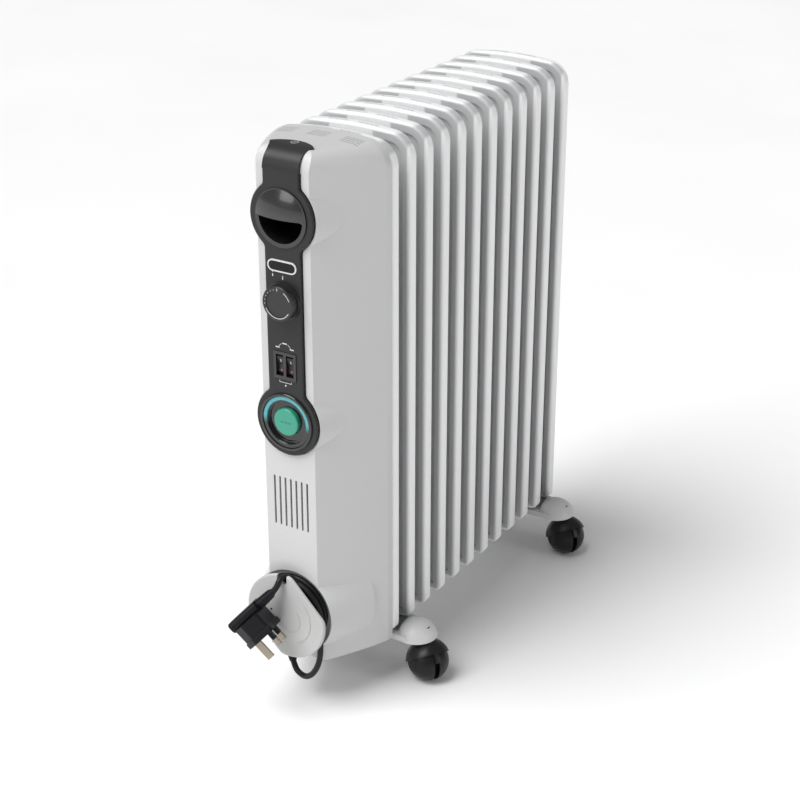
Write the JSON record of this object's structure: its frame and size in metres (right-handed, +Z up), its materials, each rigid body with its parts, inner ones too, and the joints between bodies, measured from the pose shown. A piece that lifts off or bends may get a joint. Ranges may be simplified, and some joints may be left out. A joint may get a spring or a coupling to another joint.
{
  "type": "oil filled radiator heater",
  "caption": "Portable oil filled radiator heater: row of steel fins, slim front control tower with knob, rockers and button, front cord storage, ball casters.",
  "frame": {"origin": "on the floor, under the middle of the heater without its cord and plug", "axes": "+Z up, -Y towards the control panel, +X to the right of someone facing the panel"},
  "size_m": [0.2656, 0.5582, 0.6482],
  "materials": {
    "fin_paint": "satin powder coat",
    "casing": "fine satin moulding",
    "panel": "dark satin moulding",
    "gloss_black": "polished",
    "knob": "satin",
    "badge": "blank plate",
    "light": "translucent teal",
    "button": "green moulding",
    "steel": "zinc plated",
    "inner_plastic": "natural moulding",
    "foot": "satin moulding",
    "caster": "black nylon",
    "cord": "black sheath",
    "plug": "black moulding",
    "brass": "nickelled brass"
  },
  "bodies": {
    "heater": {"fin_01": "fin_paint", "fin_02": "fin_paint", "fin_03": "fin_paint", "fin_04": "fin_paint", "fin_05": "fin_paint", "fin_06": "fin_paint", "fin_07": "fin_paint", "fin_08": "fin_paint", "fin_09": "fin_paint", "fin_10": "fin_paint", "fin_11": "fin_paint", "fin_12": "fin_paint", "oil_plug": "steel", "element_flange": "steel", "heating_elements": "steel", "control_housing": "casing", "heat_shield": "steel", "control_panel": "panel", "handle_cup": "gloss_black", "handle_cover": "gloss_black", "badge": "badge", "thermostat_body": "inner_plastic", "switch_bezel": "gloss_black", "comfort_bezel": "gloss_black", "light_ring": "light", "comfort_switch": "inner_plastic", "overheat_cutout": "inner_plastic", "terminal_block": "inner_plastic", "reel_base": "casing", "reel_disc": "casing", "housing_screws": "steel", "cord_gland": "cord", "cord_coil": "cord", "cord_loop": "cord", "cord_lead": "cord", "plug_body": "plug", "plug_pins": "brass", "u_bolts": "steel", "wing_nuts": "steel", "foot_bar_front": "steel", "foot_bar_rear": "steel", "foot_shell_front_left": "foot", "foot_shell_front_right": "foot", "foot_shell_rear_left": "foot", "foot_shell_rear_right": "foot"},
    "thermostat": {"thermostat_knob": "knob", "thermostat_spindle": "steel"},
    "rocker_left": {"rocker_left": "knob"},
    "rocker_right": {"rocker_right": "knob"},
    "comfort_button": {"comfort_button": "button"},
    "caster_front_left": {"caster_hood_front_left": "caster"},
    "wheels_front_left": {"caster_wheels_front_left": "caster"},
    "caster_front_right": {"caster_hood_front_right": "caster"},
    "wheels_front_right": {"caster_wheels_front_right": "caster"},
    "caster_rear_left": {"caster_hood_rear_left": "caster"},
    "wheels_rear_left": {"caster_wheels_rear_left": "caster"},
    "caster_rear_right": {"caster_hood_rear_right": "caster"},
    "wheels_rear_right": {"caster_wheels_rear_right": "caster"}
  },
  "joints": [
    {"name": "thermostat_turn", "type": "hinge", "parent": "heater", "child": "thermostat", "pos_m": [0, -0.23625, 0.486], "axis": [0, 1, 0], "range_deg": [0, 290]},
    {"name": "rocker_left_tilt", "type": "hinge", "parent": "heater", "child": "rocker_left", "pos_m": [-0.00637, -0.23225, 0.413], "axis": [-1, 0, 0], "range_deg": [0, 16]},
    {"name": "rocker_right_tilt", "type": "hinge", "parent": "heater", "child": "rocker_right", "pos_m": [0.00637, -0.23225, 0.413], "axis": [-1, 0, 0], "range_deg": [0, 16]},
    {"name": "comfort_button_press", "type": "slide", "parent": "heater", "child": "comfort_button", "axis": [0, 1, 0], "range_m": [0, 0.002], "stiffness_N_per_m": 600, "springref_m": -0.001},
    {"name": "caster_front_left_swivel", "type": "hinge", "parent": "heater", "child": "caster_front_left", "pos_m": [-0.102, -0.12075, 0.05], "axis": [0, 0, 1], "continuous": true},
    {"name": "caster_front_left_roll", "type": "hinge", "parent": "caster_front_left", "child": "wheels_front_left", "pos_m": [-0.10878, -0.12499, 0.024], "axis": [0.5299, -0.848, 0], "continuous": true},
    {"name": "caster_front_right_swivel", "type": "hinge", "parent": "heater", "child": "caster_front_right", "pos_m": [0.102, -0.12075, 0.05], "axis": [0, 0, 1], "continuous": true},
    {"name": "caster_front_right_roll", "type": "hinge", "parent": "caster_front_right", "child": "wheels_front_right", "pos_m": [0.10878, -0.12499, 0.024], "axis": [0.5299, 0.848, 0], "continuous": true},
    {"name": "caster_rear_left_swivel", "type": "hinge", "parent": "heater", "child": "caster_rear_left", "pos_m": [-0.102, 0.22925, 0.05], "axis": [0, 0, 1], "continuous": true},
    {"name": "caster_rear_left_roll", "type": "hinge", "parent": "caster_rear_left", "child": "wheels_rear_left", "pos_m": [-0.10878, 0.22501, 0.024], "axis": [0.5299, -0.848, 0], "continuous": true},
    {"name": "caster_rear_right_swivel", "type": "hinge", "parent": "heater", "child": "caster_rear_right", "pos_m": [0.102, 0.22925, 0.05], "axis": [0, 0, 1], "continuous": true},
    {"name": "caster_rear_right_roll", "type": "hinge", "parent": "caster_rear_right", "child": "wheels_rear_right", "pos_m": [0.10878, 0.22501, 0.024], "axis": [0.5299, 0.848, 0], "continuous": true}
  ]
}
